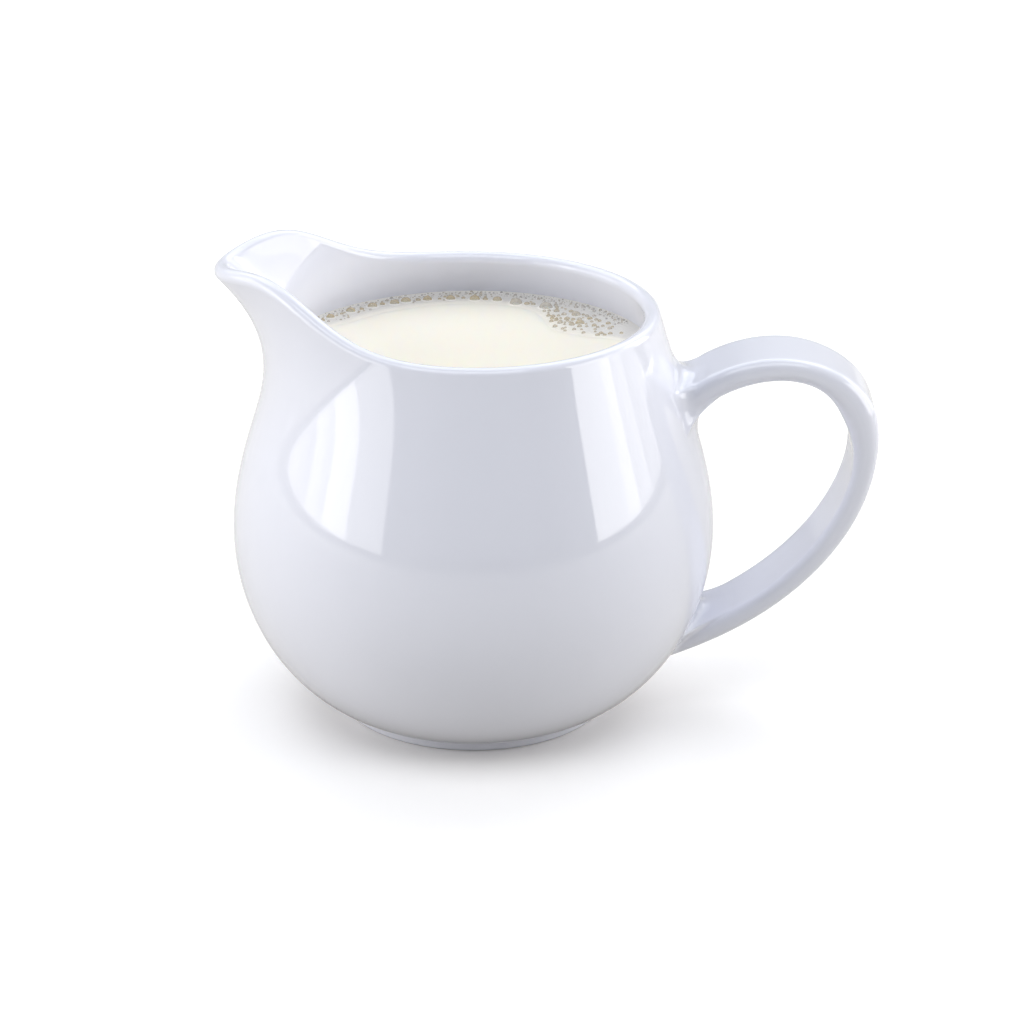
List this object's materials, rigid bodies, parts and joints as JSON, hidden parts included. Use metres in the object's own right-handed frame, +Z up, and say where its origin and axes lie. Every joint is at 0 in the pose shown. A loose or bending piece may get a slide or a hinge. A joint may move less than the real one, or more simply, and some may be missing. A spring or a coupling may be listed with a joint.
{
  "type": "milk jug",
  "caption": "Small round-bellied glazed jug with a pulled pouring spout, a strap handle and a low foot, filled with milk to just below the rim.",
  "frame": {"origin": "centre of the foot ring's underside, on the body's axis", "axes": "+Z up, the spout points to -X, the handle to +X, and y = 0 is the mirror plane"},
  "size_m": [0.1214, 0.09, 0.0878],
  "materials": {
    "porcelain": "clear gloss glaze over white porcelain",
    "milk": "opaque liquid with a soft shine"
  },
  "bodies": {
    "root": {"jug": "porcelain", "milk": "milk"}
  },
  "joints": []
}
